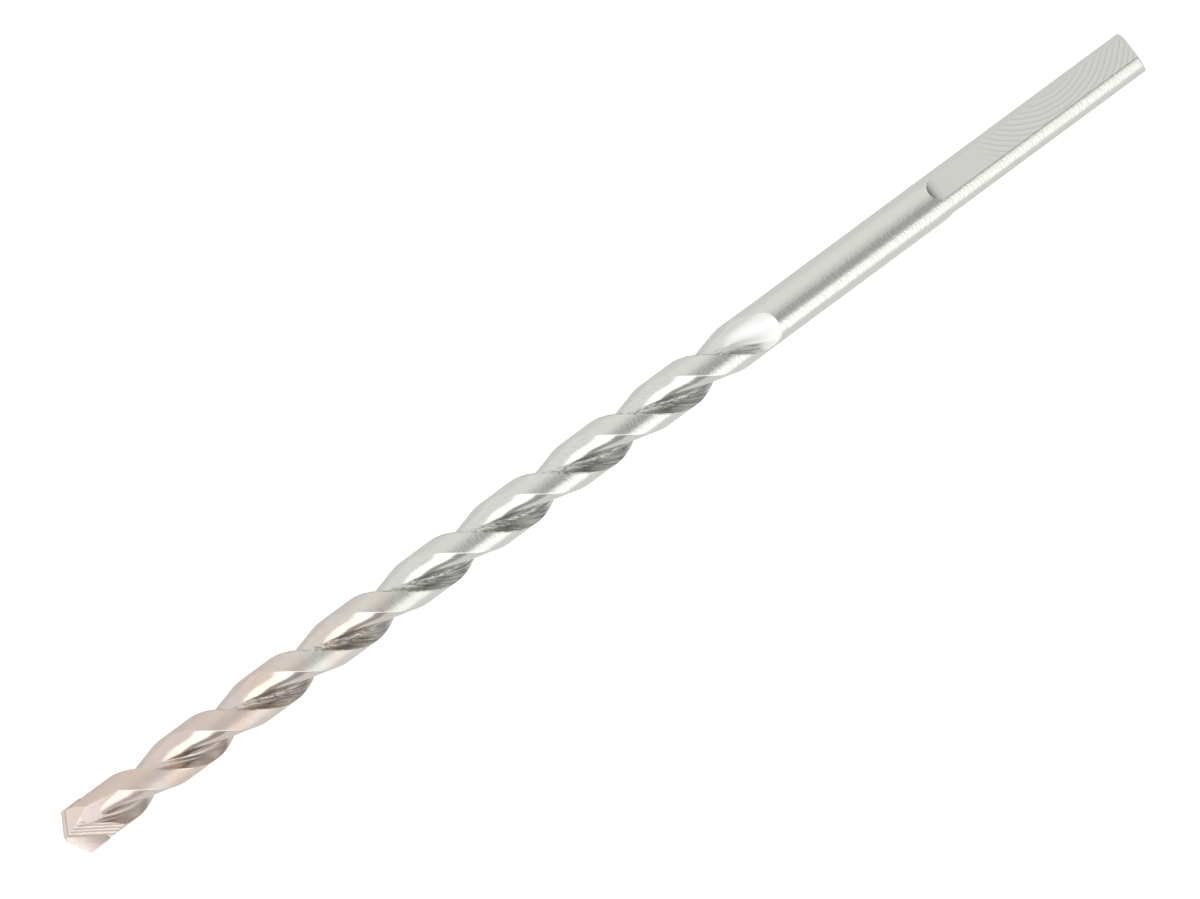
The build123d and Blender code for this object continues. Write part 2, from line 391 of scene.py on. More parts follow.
away = add(tree, "ShaderNodeVectorMath", [flat_place, (*arc_centre, 0)], operation="DISTANCE")
ridges = wavy_ridges(tree, flat_place, away, arc_spacing, arc_waver, arc_waver_patch, 1.0)
fade = add(tree, "ShaderNodeMapRange", {"Value": parts.outputs["X"], "From Min": arcs_start_x,
    "From Max": arcs_full_x}, interpolation_type="SMOOTHSTEP")
arcs = add(tree, "ShaderNodeMath", [ridges, fade], operation="MULTIPLY")
print("arcs every", arc_spacing / mm, "mm")

# %% Milled flat steel
# To the eye it is an even satin grey with faint dark arcs of painted shade, duller than the
# ground round.
fine_grain = 0.3 * mm
arc_height = 0.006 * mm
groove_shade = 0.86
# a painted reflection: a thin dark line along the lower edge, where the edge mirrors something dark
painted_reflection_start = -1.38 * mm
painted_reflection_end = -1.5 * mm
painted_reflection_shade = 0.55

fine = add(tree, "ShaderNodeTexNoise", {"Vector": place, "Scale": 1 / fine_grain, "Detail": 3.0})
height = add(tree, "ShaderNodeMath", [fine, 0.5, arcs], operation="MULTIPLY_ADD")
bump = add(tree, "ShaderNodeBump", {"Height": height, "Strength": 0.6, "Distance": arc_height})
# painted shade: the colour is darkened in the arcs' grooves
painted_groove_shade = add(tree, "ShaderNodeMapRange", {"Value": arcs, "From Min": -1.0, "From Max": -0.5,
    "To Min": groove_shade, "To Max": 1.0})
# painted reflection: the colour is darkened in a thin line along the flat's lower edge
painted_edge_reflection = add(tree, "ShaderNodeMapRange", {"Value": across, "From Min": painted_reflection_end,
    "From Max": painted_reflection_start, "To Min": painted_reflection_shade, "To Max": 1.0})
shade = add(tree, "ShaderNodeMath", [painted_groove_shade, painted_edge_reflection], operation="MULTIPLY")
metal = add(tree, "ShaderNodeBsdfPrincipled", {"Base Color": steel_colour(tree, place, shade),
    "Metallic": 1.0, "Roughness": 0.27, "Normal": bump})
add(tree, "ShaderNodeOutputMaterial", {"Surface": metal})
print("milled flat steel:", len(tree.nodes), "nodes")

# %% [markdown]
# ## Ground gash
#
# The gash in front of each lip was ground with a narrow wheel that stepped back several times,
# so its floor is a row of furrows parallel to the gash's root line. They are only hundredths
# of a millimetre deep, so bump and painted shade in their troughs draw them, not the mesh. The
# lower gash is the upper one turned by half a turn, so Y takes the sign of Z.

# %% Furrows of the gash
gash_angle = math.radians(34)
gash_start = 0.8 * mm
gash_offset = 0.19 * mm
furrow_spacing = 0.36 * mm
furrowed_width = 2.1 * mm
furrows_full_y = 0.3 * mm
furrows_end_y = 1.1 * mm
furrow_waver = 0.16 * mm
furrow_waver_patch = 0.8 * mm

tree = new_material("gashed_steel")
place = add(tree, "ShaderNodeTexCoord").outputs["Object"]
parts = add(tree, "ShaderNodeSeparateXYZ", [place])
side = add(tree, "ShaderNodeMath", [parts.outputs["Z"]], operation="SIGN")
own_y = add(tree, "ShaderNodeMath", [parts.outputs["Y"], side], operation="MULTIPLY")
root_x, root_y = apex_x + gash_start, -gash_offset
from_root = add(tree, "ShaderNodeMath", [parts.outputs["X"], math.sin(gash_angle),
    -root_x * math.sin(gash_angle) - root_y * math.cos(gash_angle)], operation="MULTIPLY_ADD")
across = add(tree, "ShaderNodeMath", [own_y, math.cos(gash_angle), from_root],
    operation="MULTIPLY_ADD")
ridges = wavy_ridges(tree, place, across, furrow_spacing, furrow_waver, furrow_waver_patch, 2.0)
back = add(tree, "ShaderNodeMapRange", {"Value": across, "From Min": furrowed_width,
    "From Max": furrowed_width + furrow_spacing, "To Min": 1.0, "To Max": 0.0})
lower = add(tree, "ShaderNodeMapRange", {"Value": own_y, "From Min": furrows_full_y,
    "From Max": furrows_end_y, "To Min": 1.0, "To Max": 0.0})
faded = add(tree, "ShaderNodeMath", [back, lower], operation="MULTIPLY")
furrows = add(tree, "ShaderNodeMath", [ridges, faded], operation="MULTIPLY")
print("furrows every", furrow_spacing / mm, "mm")

# %% Gashed steel
# To the eye it is pale and matt, with a few dark scratches of painted shade side by side.
fine_grain = 0.2 * mm
furrow_height = 0.02 * mm
furrow_painted_shade = 0.5

fine = add(tree, "ShaderNodeTexNoise", {"Vector": place, "Scale": 1 / fine_grain, "Detail": 3.0})
height = add(tree, "ShaderNodeMath", [fine, 0.6, furrows], operation="MULTIPLY_ADD")
bump = add(tree, "ShaderNodeBump", {"Height": height, "Strength": 1.0, "Distance": furrow_height})
# painted shade: the colour is darkened in the furrows' troughs
shade = add(tree, "ShaderNodeMapRange", {"Value": furrows, "From Min": -1.0, "From Max": -0.3,
    "To Min": furrow_painted_shade, "To Max": 1.0})
metal = add(tree, "ShaderNodeBsdfPrincipled", {"Base Color": steel_colour(tree, place, shade),
    "Metallic": 1.0, "Roughness": 0.3, "Normal": bump})
add(tree, "ShaderNodeOutputMaterial", {"Surface": metal})
print("gashed steel:", len(tree.nodes), "nodes")

# %% [markdown]
# ## Carbide
#
# Cemented tungsten carbide is grey, with a fine sandy grain from the diamond wheel and patches
# of rose stain from the braze. The grit's scratches are hundredths of a millimetre wide, too
# fine to show, so the grain is drawn several times coarser. It could be a picture, but noise
# has no seam.

# %% Sandy carbide
# To the eye it is paler and more matt than the steel, and finely speckled.
carbide_grey = linear("#efece6")
rose_stain = linear("#f0dfd7")
grit = 0.14 * mm
grit_height = 0.012 * mm
stain_patch = 1.1 * mm

tree = new_material("sandy_carbide")
place = add(tree, "ShaderNodeTexCoord").outputs["Object"]
grain = add(tree, "ShaderNodeTexNoise", {"Vector": place, "Scale": 1 / grit, "Detail": 4.0,
    "Roughness": 0.7})
stain = add(tree, "ShaderNodeTexNoise", {"Vector": place, "Scale": 1 / stain_patch, "Detail": 3.0,
    "Roughness": 0.6})
amount = add(tree, "ShaderNodeMapRange", {"Value": stain, "From Min": 0.34, "From Max": 0.52})
stained = add(tree, "ShaderNodeMix", [amount, carbide_grey, rose_stain], data_type="RGBA")
speckle = add(tree, "ShaderNodeMapRange", {"Value": grain, "From Min": 0.35, "From Max": 0.65,
    "To Min": 0.82, "To Max": 1.08})
colour = add(tree, "ShaderNodeVectorMath", {"Vector": stained, "Scale": speckle}, operation="SCALE")
bump = add(tree, "ShaderNodeBump", {"Height": grain, "Strength": 0.5, "Distance": grit_height})
metal = add(tree, "ShaderNodeBsdfPrincipled", {"Base Color": colour, "Metallic": 1.0,
    "Roughness": 0.45, "Normal": bump})
add(tree, "ShaderNodeOutputMaterial", {"Surface": metal})
print("sandy carbide:", len(tree.nodes), "nodes")

# %% [markdown]
# ## Braze
#
# The braze is a copper alloy that set in the gap round the plate, with a lumpy, burnt skin.
# Only its thin edge shows, so one noise does for both its lumps and its burnt colour.

# %% Burnt braze
# To the eye it is a thin, dull brown line round the plate.
burnt_brown = linear("#94806f")
pale_copper = linear("#c9b6a4")
lump = 0.25 * mm
lump_height = 0.03 * mm

tree = new_material("burnt_braze")
place = add(tree, "ShaderNodeTexCoord").outputs["Object"]
grain = add(tree, "ShaderNodeTexNoise", {"Vector": place, "Scale": 1 / lump, "Detail": 4.0,
    "Roughness": 0.65})
colour = add(tree, "ShaderNodeMix", [grain, burnt_brown, pale_copper], data_type="RGBA")
bump = add(tree, "ShaderNodeBump", {"Height": grain, "Strength": 0.8, "Distance": lump_height})
metal = add(tree, "ShaderNodeBsdfPrincipled", {"Base Color": colour, "Metallic": 1.0,
    "Roughness": 0.45, "Normal": bump})
add(tree, "ShaderNodeOutputMaterial", {"Surface": metal})
print("materials:", ", ".join(materials))

# %% [markdown]
# ## Section of the fluted rod
#
# Half of the rod's cross-section is one flute and one land; the other half is the same, turned
# by half a turn. A drawn curve could give it, but one worked out from named sizes can be
# checked against the solid: a straight leading wall, a round bottom and a smooth bulge up to
# the heel. The rounded edges of the land catch the light as real ground edges do.

# %% Curves of the section
def polar(radius, angle):
    return Vector((radius * math.cos(angle), radius * math.sin(angle)))


def heel_side(bottom, bulge, heel, samples):
    """Smooth curve through three points that starts downwards and ends sideways."""
    first, second = (bulge - bottom).length, (heel - bulge).length
    start_run, end_run = Vector((0, -1)), Vector((-1, 0))
    pull = 3 * (second * (bulge - bottom) / first + first * (heel - bulge) / second)
    middle_run = (pull - second * start_run - first * end_run) / (2 * (first + second))
    points = []
    for start, end, run, run_end, length in ((bottom, bulge, start_run, middle_run, first),
                                             (bulge, heel, middle_run, end_run, second)):
        for step in range(samples):
            t = step / samples
            points.append((2 * t**3 - 3 * t**2 + 1) * start + (t**3 - 2 * t**2 + t) * length * run
                          + (3 * t**2 - 2 * t**3) * end + (t**3 - t**2) * length * run_end)
    return points


def rounded_corner(before, corner, after, samples):
    steps = [step / samples for step in range(samples + 1)]
    return [(1 - t) ** 2 * before + 2 * t * (1 - t) * corner + t**2 * after for t in steps]


print("a point at 90 degrees:", tuple(round(v, 3) for v in polar(1, math.pi / 2)))

# %% Half section
wall_depth = 1.02 * mm
bottom_radius = 0.69 * mm
heel_angle = math.radians(114)
bulge_angle = math.radians(77)
bulge_radius = 2.06 * mm
edge_rounding = 0.035 * mm
heel_rounding = 0.09 * mm
wall_steps, bottom_steps, bulge_steps, land_steps = 6, 10, 16, 16
edge_steps, heel_steps = 4, 5

wall_end = Vector((body_radius - wall_depth, 0))
leading_edge = Vector((body_radius, 0))
fillet_centre = wall_end - Vector((0, bottom_radius))
heel_point = polar(body_radius, -heel_angle)
heel_turn = heel_rounding / body_radius
flute = rounded_corner(polar(body_radius, edge_rounding / body_radius), leading_edge,
                       leading_edge - Vector((edge_rounding, 0)), edge_steps)
flute += [leading_edge.lerp(wall_end, step / wall_steps) for step in range(1, wall_steps)]
flute += [fillet_centre + polar(bottom_radius, math.pi / 2 * (1 + step / bottom_steps))
    for step in range(bottom_steps)]
curve = heel_side(fillet_centre - Vector((bottom_radius, 0)), polar(bulge_radius, -bulge_angle),
    heel_point, bulge_steps)
flute += [point for point in curve if (point - heel_point).length > 1.5 * heel_rounding]
flute += rounded_corner(heel_point + Vector((heel_rounding, 0)), heel_point,
    polar(body_radius, -heel_angle - heel_turn), heel_steps)
land_start = -heel_angle - heel_turn
land_turn = -math.pi + edge_rounding / body_radius - land_start
land = [polar(body_radius, land_start + land_turn * step / land_steps)
    for step in range(1, land_steps)]
print("half section:", len(flute), "flute points and", len(land), "land points")

# %% [markdown]
# ## The section as data
#
# The run-out squeezes a flute in radius and angle, so the section's points are kept as just
# those two, with a mark for the land. Loose points carry them into the Geometry Nodes tree as
# attributes, which are easier to change than a table in the tree.

# %% Section with attributes
section_mesh = bpy.data.meshes.new("half_section")
section_mesh.from_pydata([(0, *point) for point in flute + land], [], [])
for name in ("radius", "angle", "land"):
    section_mesh.attributes.new(name, "FLOAT", "POINT")
for index, point in enumerate(flute + land):
    angle = math.atan2(point.y, point.x)
    wrapped = angle - 2 * math.pi if angle > 0.5 else angle
    section_mesh.attributes["radius"].data[index].value = point.length
    section_mesh.attributes["angle"].data[index].value = wrapped
    section_mesh.attributes["land"].data[index].value = float(index >= len(flute))
print("section attributes:", [item.name for item in section_mesh.attributes])

# %% [markdown]
# ## The rod as a rule
#
# The fluted rod follows one rule: carry the section along X and turn it with the helix. A
# Screw modifier could do that, but not the run-out, so a Geometry Nodes tree does it all, with
# the rod's sizes as named inputs. The rule is a list of formulas. Each line names a result,
# says what is done, and with what: another result, an input or a number.

# %% Inputs of the rod's tree
flute_length = 93.5 * mm
exit_length = 5.8 * mm
exit_swing = math.radians(47)
shank_end_chamfer = 0.2 * mm

rod_inputs = {"Helix Stations": 330, "Exit Stations": 44, "Shank Stations": 12,
              "Edge Stations": 1, "Apex X": apex_x, "Flute Length": flute_length,
              "Exit Length": exit_length, "Chamfer": shank_end_chamfer,
              "Land Radius": land_radius, "Body Radius": body_radius, "Lead": flute_lead,
              "Roll At Tip": flute_roll_at_tip, "Heel Angle": heel_angle,
              "Exit Swing": exit_swing, "Exit Ease": 3.1, "Exit Fullness": 4.0,
              "Narrowest": 0.2}
rod_tree = bpy.data.node_groups.new("fluted_rod", "GeometryNodeTree")
rod_tree.interface.new_socket("Section", in_out="INPUT", socket_type="NodeSocketGeometry")
rod_sockets = {}
for name, value in rod_inputs.items():
    kind = "NodeSocketInt" if isinstance(value, int) else "NodeSocketFloat"
    socket = rod_tree.interface.new_socket(name, in_out="INPUT", socket_type=kind)
    rod_sockets[name] = socket.identifier
rod_tree.interface.new_socket("Rod", in_out="OUTPUT", socket_type="NodeSocketGeometry")
given = add(rod_tree, "NodeGroupInput").outputs
known = {name: given[name] for name in rod_inputs}
print("the rod has", len(rod_inputs), "inputs")

# %% Reading formulas
def work_out(formulas):
    """Add a node for each line: a name for its result, what is done, and what with."""
    for name, action, *values in formulas:
        inputs = [known.get(value, value) for value in values]
        if action.startswith("ShaderNode"):
            known[name] = add(rod_tree, action, inputs)
        else:
            known[name] = add(rod_tree, "ShaderNodeMath", inputs, operation=action)


points = add(rod_tree, "GeometryNodeAttributeDomainSize", [given["Section"]])
known["points"] = points.outputs["Point Count"]
work_out([
    ("columns", "MULTIPLY", "points", 2.0),
    ("shank from", "ADD", "Helix Stations", "Exit Stations"),
    ("edge from", "ADD", "shank from", "Shank Stations"),
    ("stations", "ADD", "edge from", "Edge Stations"),
    ("grid rows", "ADD", "stations", 1.0),
    ("grid columns", "ADD", "columns", 1.0),
])
print(len(known), "results")

# %% [markdown]
# ## A grid, looked up
#
# The tree starts from a flat grid, whose faces are ready made: one row for each station along
# the bit and one column for each point of the section, once for each half. Every grid point
# finds its station and its column from where it lies, and looks up its radius and angle by
# column.

# %% Stations and columns
grid = add(rod_tree, "GeometryNodeMeshGrid", {"Size X": 1.0, "Size Y": 1.0,
    "Vertices X": known["grid rows"], "Vertices Y": known["grid columns"]})
corner = add(rod_tree, "ShaderNodeSeparateXYZ", [add(rod_tree, "GeometryNodeInputPosition")])
known["grid x"], known["grid y"] = corner.outputs["X"], corner.outputs["Y"]
work_out([
    ("share along", "ADD", "grid x", 0.5),
    ("station", "MULTIPLY", "share along", "stations"),
    ("share round", "ADD", "grid y", 0.5),
    ("near column", "MULTIPLY", "share round", "columns"),
    ("column", "ROUND", "near column"),
    ("halves", "DIVIDE", "column", "points"),
    ("half", "FLOOR", "halves"),
    ("point", "FLOORED_MODULO", "column", "points"),
])
for name in ("radius", "angle", "land"):
    source = add(rod_tree, "GeometryNodeInputNamedAttribute", {"Name": name}, data_type="FLOAT")
    known["section " + name] = add(rod_tree, "GeometryNodeSampleIndex",
        {"Geometry": given["Section"], "Value": source, "Index": known["point"]}, data_type="FLOAT",
        domain="POINT")
print(len(known), "results")

# %% [markdown]
# ## Places along the bit
#
# The stations pass the helix, the run-out, the plain shank and the chamfer in turn. In the
# run-out the flute keeps nearly its full width and rises faster and faster, as a wheel leaves
# the metal, so it ends in a long flat hollow with a round tip. A quarter ellipse was tried
# first, and was too short and too pointed.

# %% Formulas for the places
work_out([
    ("helix done", "ShaderNodeMapRange", "station", 0.0, "Helix Stations"),
    ("exit done", "ShaderNodeMapRange", "station", "Helix Stations", "shank from"),
    ("shank share", "ShaderNodeMapRange", "station", "shank from", "edge from"),
    ("shank done", "POWER", "shank share", 3.0),
    ("edge done", "ShaderNodeMapRange", "station", "edge from", "stations"),
    ("lift", "MULTIPLY", "exit done", math.pi / 2),
    ("progress", "SINE", "lift"),
    ("lost width", "POWER", "progress", "Exit Fullness"),
    ("squared width", "SUBTRACT", 1.0, "lost width"),
    ("width", "SQRT", "squared width"),
    ("lost depth", "MULTIPLY", "progress", "progress"),
    ("depth", "SUBTRACT", 1.0, "lost depth"),
    ("helix x", "MULTIPLY_ADD", "helix done", "Flute Length", "Apex X"),
    ("exit x", "MULTIPLY_ADD", "progress", "Exit Length", "helix x"),
    ("flute end", "ADD", "Apex X", "Flute Length"),
    ("exit end", "ADD", "flute end", "Exit Length"),
    ("shank length", "MULTIPLY", "exit end", -1.0),
    ("plain length", "SUBTRACT", "shank length", "Chamfer"),
    ("shank x", "MULTIPLY_ADD", "shank done", "plain length", "exit x"),
    ("x", "MULTIPLY_ADD", "edge done", "Chamfer", "shank x"),
])
print(len(known), "results")

# %% Formulas for the radius
# The lands come down to the shank, the flutes come up to it, and the end is chamfered.
work_out([
    ("land surface", "ShaderNodeMapRange", "progress", 0.0, 1.0, "Land Radius", "Body Radius"),
    ("section depth", "SUBTRACT", "Body Radius", "section radius"),
    ("sunk", "MULTIPLY", "section depth", "depth"),
    ("surface", "SUBTRACT", "land surface", "sunk"),
    ("chamfered", "MULTIPLY", "edge done", "Chamfer"),
    ("radius", "SUBTRACT", "surface", "chamfered"),
])
print(len(known), "results")

# %% Formulas for the angle
# The section turns with the helix and falls back in the run-out, and the flute and the land
# are each squeezed or widened about their own middle.
work_out([
    ("flute share", "MAXIMUM", "width", "Narrowest"),
    ("flute angle", "MULTIPLY", "Heel Angle", "flute share"),
    ("angle left", "SUBTRACT", math.pi, "flute angle"),
    ("land angle", "SUBTRACT", math.pi, "Heel Angle"),
    ("land share", "DIVIDE", "angle left", "land angle"),
    ("flute middle", "MULTIPLY", "Heel Angle", -0.5),
    ("land middle", "SUBTRACT", "flute middle", math.pi / 2),
    ("middle", "ShaderNodeMix", "section land", "flute middle", "land middle"),
    ("squeeze", "ShaderNodeMix", "section land", "flute share", "land share"),
    ("from middle", "SUBTRACT", "section angle", "middle"),
    ("own angle", "MULTIPLY_ADD", "from middle", "squeeze", "middle"),
    ("travelled", "SUBTRACT", "exit x", "Apex X"),
    ("turns", "DIVIDE", "travelled", "Lead"),
    ("helix roll", "MULTIPLY_ADD", "turns", 2 * math.pi, "Roll At Tip"),
    ("eased", "POWER", "progress", "Exit Ease"),
    ("fall-back", "MULTIPLY", "Exit Swing", "eased"),
    ("flute roll", "SUBTRACT", "helix roll", "fall-back"),
    ("turned", "ADD", "flute roll", "own angle"),
    ("roll", "MULTIPLY_ADD", "half", -math.pi, "turned"),
    ("cosine", "COSINE", "roll"),
    ("sine", "SINE", "roll"),
    ("y", "MULTIPLY", "radius", "cosine"),
    ("z", "MULTIPLY", "radius", "sine"),
    ("place", "ShaderNodeCombineXYZ", "x", "y", "z"),
])
print(len(known), "results")

# %% Moved points and their finish
work_out([
    ("in flute", "LESS_THAN", "section land", 0.5),
    ("last in flute", "SUBTRACT", "shank from", 0.5),
    ("before shank", "LESS_THAN", "station", "last in flute"),
    ("fluted", "MULTIPLY", "in flute", "before shank"),
])
marked = add(rod_tree, "GeometryNodeStoreNamedAttribute", {"Geometry": grid, "Name": "fluted",
    "Value": known["fluted"]}, data_type="FLOAT", domain="FACE")
moved = add(rod_tree, "GeometryNodeSetPosition", {"Geometry": marked, "Position": known["place"]})
closed = add(rod_tree, "GeometryNodeMergeByDistance", {"Geometry": moved, "Distance": 0.0001 * mm})
realized = add(rod_tree, "GeometryNodeRealizeInstances", [closed])
bright = add(rod_tree, "GeometryNodeSetMaterial", {"Geometry": realized,
    "Material": materials["ground_steel"]})
mark = add(rod_tree, "GeometryNodeInputNamedAttribute", {"Name": "fluted"}, data_type="FLOAT")
is_fluted = add(rod_tree, "FunctionNodeCompare", {"A": mark, "B": 0.5}, operation="GREATER_THAN")
finished = add(rod_tree, "GeometryNodeSetMaterial", {"Geometry": bright, "Selection": is_fluted,
    "Material": materials["fluted_steel"]})
add(rod_tree, "NodeGroupOutput", [finished])
print("the rod's tree:", len(rod_tree.nodes), "nodes")

# %% [markdown]
# ## From the tree to a closed rod
#
# The cuts below need a plain mesh, so the tree's result becomes one. The tree could cap its
# open ends as well, but mesh code finds them with less ado.

# %% The fluted rod
def plain_mesh(source, name):
    """The evaluated object as a plain mesh, without its modifiers."""
    evaluated = source.evaluated_get(bpy.context.evaluated_depsgraph_get())
    mesh = bpy.data.meshes.new_from_object(evaluated)
    mesh.name = name
    return mesh


def place_object(name, data):
    made = bpy.data.objects.new(name, data)
    bpy.context.collection.objects.link(made)
    return made


def close_up(mesh):
    """Cap what is open, turn all faces outwards and count the edges that stay open."""
    bm = bmesh.new()
    bm.from_mesh(mesh)
    bmesh.ops.holes_fill(bm, edges=[edge for edge in bm.edges if edge.is_boundary], sides=0)
    bmesh.ops.recalc_face_normals(bm, faces=bm.faces)
    bm.to_mesh(mesh)
    left_open = sum(not edge.is_manifold for edge in bm.edges)
    bm.free()
    return left_open


def finish_names(piece):
    return ", ".join(material.name for material in piece.data.materials if material)


section = place_object("rod_section", section_mesh)
modifier = section.modifiers.new("fluted_rod", "NODES")
modifier.node_group = rod_tree
for name, value in rod_inputs.items():
    modifier[rod_sockets[name]] = value
rod = place_object("drill_body", plain_mesh(section, "drill_body"))
bpy.data.objects.remove(section)
print("rod:", close_up(rod.data), "open edges, finishes", finish_names(rod))

# %% [markdown]
# ## Tools that shape the rod
#
# The head and the flats are made as the real ones are: by cutting. Each tool is an outline
# swept into a closed body, and a Boolean takes it away. Moving the rod's own points could make
# a flat as well, but would smear its edges. The tool's own material comes with the cut, so a
# milled flat gets milled steel by itself.

# %% Swept bodies and Booleans
def swept(name, rings, material):
    """Closed body through rings that have the same number of points."""
    count, last = len(rings[0]), (len(rings) - 1) * len(rings[0])
    faces = [(row + i, row + (i + 1) % count, row + count + (i + 1) % count, row + count + i)
        for row in range(0, last, count) for i in range(count)]
    faces += [tuple(range(count)), tuple(range(last, last + count))]
    mesh = bpy.data.meshes.new(name)
    mesh.from_pydata([point for ring in rings for point in ring], [], faces)
    mesh.materials.append(materials[material])
    close_up(mesh)
    return place_object(name, mesh)


def prism(name, outline, origin, across, up, along, start, end, material):
    """Closed prism: an outline of (across, up) points, swept along a third direction."""
    across, up, along = (Vector(direction).normalized() for direction in (across, up, along))
    rings = [[Vector(origin) + across * u + up * v + along * w for u, v in outline]
        for w in (start, end)]
    return swept(name, rings, material)


def combine(piece, tool, operation):
    """Add a tool's body to a piece or cut it away, and throw the tool away."""
    modifier = piece.modifiers.new(tool.name, "BOOLEAN")
    modifier.object = tool
    modifier.operation = operation
    modifier.solver = "EXACT"
    modifier.material_mode = "TRANSFER"
    piece.data = plain_mesh(piece, piece.name)
    piece.modifiers.clear()
    print(f"{tool.name}: {operation.lower()}, now {len(piece.data.polygons)} faces")
    bpy.data.objects.remove(tool)


# %% [markdown]
# ## Thick heels
#
# Behind the tip, each land carries a thick heel that backs the plate. It is a sector that
# turns much more slowly than the flutes, so it grows out of the land and ends on it. It could
# be part of the section, but is simpler as a body of its own, joined on. Its outer face lies a
# hair below the land's, because two faces in one place would confuse the Boolean.

# %% Both thick heels
head_length = 8.2 * mm
head_heel_roll = math.radians(36.2)
head_twist = math.radians(4) / mm
head_floor_angle = math.radians(26)
head_back_angle = math.radians(60)
hair = 0.004 * mm
heel_start = apex_x - 1.0 * mm
heel_stations = 60
back_steps = 14
floor_rounded = 0.03  # share of the heel's floor that its rounded edge takes up
face_rounded = 0.02  # radians of the heel's outer face that it takes up


def heel_outline():
    foot = polar(body_radius * math.sin(head_floor_angle), math.pi / 2 - head_floor_angle)
    edge = Vector((land_radius - hair, 0))
    outline = [foot.lerp(edge, share) for share in (0, 0.25, 0.5, 0.75)]
    outline += rounded_corner(edge.lerp(foot, floor_rounded), edge, polar(edge.x, -face_rounded), 3)
    outline += [polar(edge.x, -head_back_angle * step / back_steps)
        for step in range(1, back_steps + 1)]
    return outline + [polar(half_plate, math.pi - head_back_angle / 2)]


def thick_heel(turn):
    outline = heel_outline()
    rings = []
    for step in range(heel_stations + 1):
        x = heel_start + (apex_x + head_length - heel_start) * step / heel_stations
        turn_to = Matrix.Rotation(head_heel_roll + (x - apex_x) * head_twist + turn, 2)
        rings.append([(x, *(turn_to @ point)) for point in outline])
    return swept("thick_heel", rings, "ground_steel")


for turn in (0, math.pi):
    combine(rod, thick_heel(turn), "UNION")

# %% [markdown]
# ## Grinding the head
#
# Each side of the head has a gash in front of its lip, which makes room for chips, and a facet
# behind the plate's flank, so that the steel doesn't rub. Every cut comes twice: a side of 1
# or -1 changes the signs of Y and Z, which is the same as turning by half a turn about X.

# %% Gashes and facets
gash_tilt = math.radians(27)
lip_slope = 1 / math.tan(math.radians(60))
lip_relief = math.radians(20.6)
steel_setback = 0.06 * mm
steel_relief = math.radians(59.4)
reach = 5.5 * mm
wide = 4 * reach


def square(half):
    return [(-half, -half), (half, -half), (half, half), (-half, half)]


far = polar(wide, gash_tilt)
gash = [(0, 0), (far.x, far.y), (far.x, wide), (-reach, wide), (-reach, 0)]
facet_x = apex_x + half_plate * math.tan(lip_relief) + steel_setback

for side in (1, -1):
    gash_along = (math.cos(gash_angle), -side * math.sin(gash_angle), 0)
    gash_across = (math.sin(gash_angle), side * math.cos(gash_angle), 0)
    gash_root = (apex_x + gash_start, -side * gash_offset, side * half_plate)
    combine(rod, prism("gash", gash, gash_root, gash_across, (0, 0, side), gash_along, -wide, wide,
        "gashed_steel"), "DIFFERENCE")
    outwards = Vector((-1, side * lip_slope, side * math.tan(steel_relief)))
    level = outwards.cross(Vector((0, 0, 1)))
    combine(rod, prism("facet", square(wide), (facet_x, 0, side * half_plate), level,
        outwards.cross(level), outwards, 0, wide, "ground_steel"), "DIFFERENCE")

# %% [markdown]
# ## The plate's slot
#
# A thin wheel cut the slot across the tip. It is wider than the plate by the braze on each
# side, so that plate, braze and steel fill the space without overlapping.

# %% Slot
plate_height = 4.1 * mm
braze_gap = 0.08 * mm
slot_half = half_plate + braze_gap
slot_depth = plate_height + braze_gap
slot = [(-wide, -slot_half), (slot_depth, -slot_half), (slot_depth, slot_half), (-wide, slot_half)]
combine(rod, prism("slot", slot, (apex_x, 0, 0), (1, 0, 0), (0, 0, 1), (0, 1, 0), -wide, wide,
    "gashed_steel"), "DIFFERENCE")

# %% [markdown]
# ## Milling the flats
#
# A chuck's jaws grip the three flats. The cutter's rounded edge leaves a shoulder at the inner
# end of each, which shows as a dark crescent where it curves up to the round shank. One
# outline, a straight floor and a quarter circle, cuts all three.

# %% Flats on the shank
flat_length = 26.8 * mm
flat_shoulder_radius = 2.9 * mm
shoulder_steps = 16
shoulder_centre = Vector((-flat_length, flat_distance + flat_shoulder_radius))
flat_outline = [(reach, flat_distance)]
for step in range(shoulder_steps + 1):
    downwards = polar(flat_shoulder_radius, -math.pi / 2 * (1 + step / shoulder_steps))
    flat_outline.append(tuple(shoulder_centre + downwards))
flat_outline.append((reach, shoulder_centre.y))
for roll in flat_rolls:
    outwards = (0, math.cos(roll), math.sin(roll))
    sideways = (0, -math.sin(roll), math.cos(roll))
    combine(rod, prism("flat", flat_outline, (0, 0, 0), (1, 0, 0), outwards, sideways, -reach,
        reach, "milled_flat_steel"), "DIFFERENCE")

# %% The finished steel body
# Faces that meet at less than this angle are parts of one curved surface.
steel_sharp_angle = math.radians(16)
rod.data.shade_smooth()
rod.data.set_sharp_from_angle(angle=steel_sharp_angle)
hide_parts("steel_body")
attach(rod, "root")
print("steel body:", len(rod.data.polygons), "faces,", finish_names(rod))

# %% [markdown]
# ## Carbide plate
#
# The plate is a sintered bar, ground to shape, and is made here as it is ground: a disc, cut
# down to a bar with two flank planes that meet in the chisel edge. Plane cuts through a closed
# mesh leave one flat face each, and a fine bevel gives its edges a tiny glint.

# %% The plate
plate_radius = 2.9 * mm
plate_edge = 0.02 * mm
plate_edge_angle = math.radians(20)
plate_sharp_angle = math.radians(28)
spare = 1 * mm


